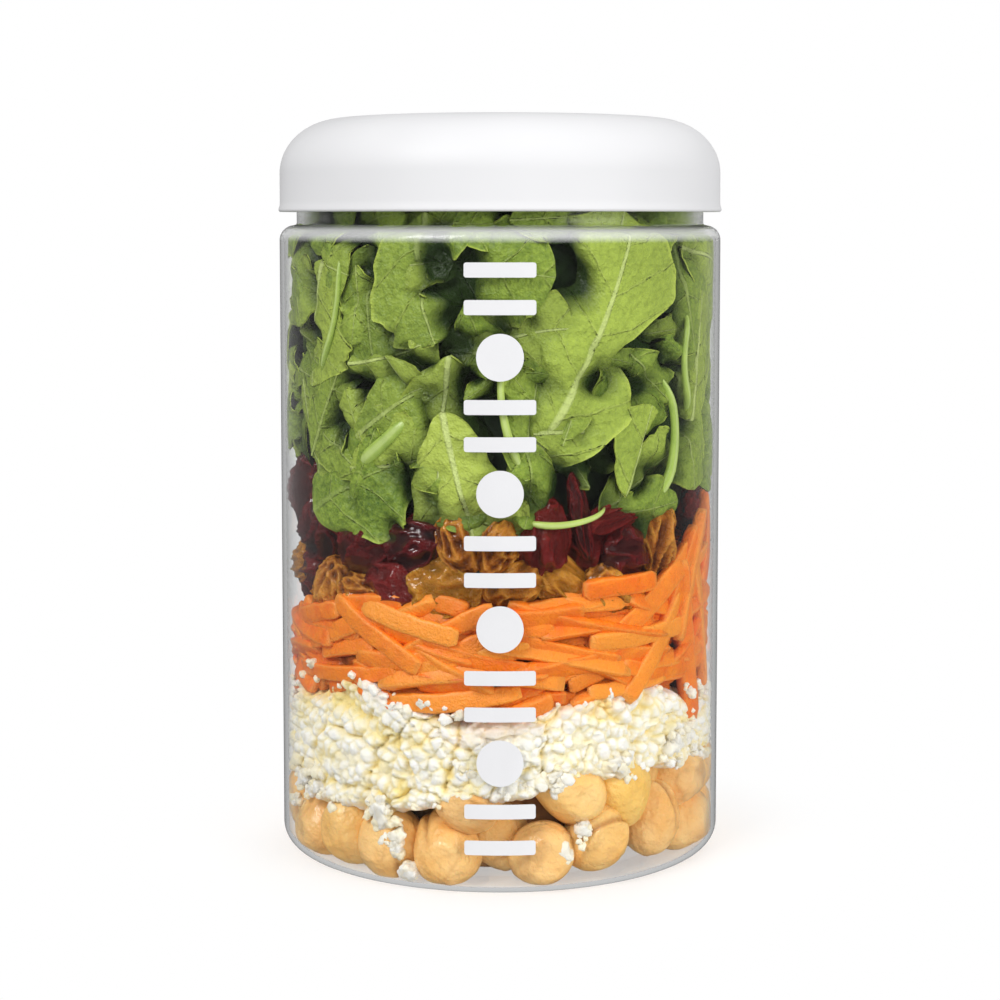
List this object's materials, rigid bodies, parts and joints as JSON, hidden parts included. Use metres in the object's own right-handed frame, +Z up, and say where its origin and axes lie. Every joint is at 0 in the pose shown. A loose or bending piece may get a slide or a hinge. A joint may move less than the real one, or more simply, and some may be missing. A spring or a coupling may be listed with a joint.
{
  "type": "layered salad in a screw-top jar",
  "caption": "Clear straight-sided jar with a white screw lid, filled in layers with chickpeas, crumbled feta, shredded carrots, dried fruit and rocket leaves.",
  "frame": {"origin": "centre of the ring that the jar stands on", "axes": "+Z up the jar's axis towards the lid, and -Y towards the printed front"},
  "size_m": [0.0934, 0.0934, 0.154],
  "materials": {
    "jar_clear": "clear blown plastic, smooth and glossy",
    "lid_white": "white moulded plastic with a soft gloss",
    "print_white": "white screen print on the jar",
    "chickpea": "cooked chickpea, smooth and moist",
    "feta": "crumbled white cheese, matte, with yellow in its hollows",
    "carrot": "raw shredded carrot, moist",
    "raisin": "golden raisin, wrinkled and glossy",
    "cranberry": "dried cranberry, dark red, wrinkled and glossy",
    "leaf": "fresh rocket leaf, satin, with pale veins",
    "leaf_stem": "pale green rocket stem and midrib"
  },
  "bodies": {
    "root": {"jar": "jar_clear", "lid": "lid_white", "chickpeas": "chickpea", "feta": "feta", "carrots": "carrot", "dried_fruit": "cranberry", "rocket_leaves": "leaf"}
  },
  "joints": []
}
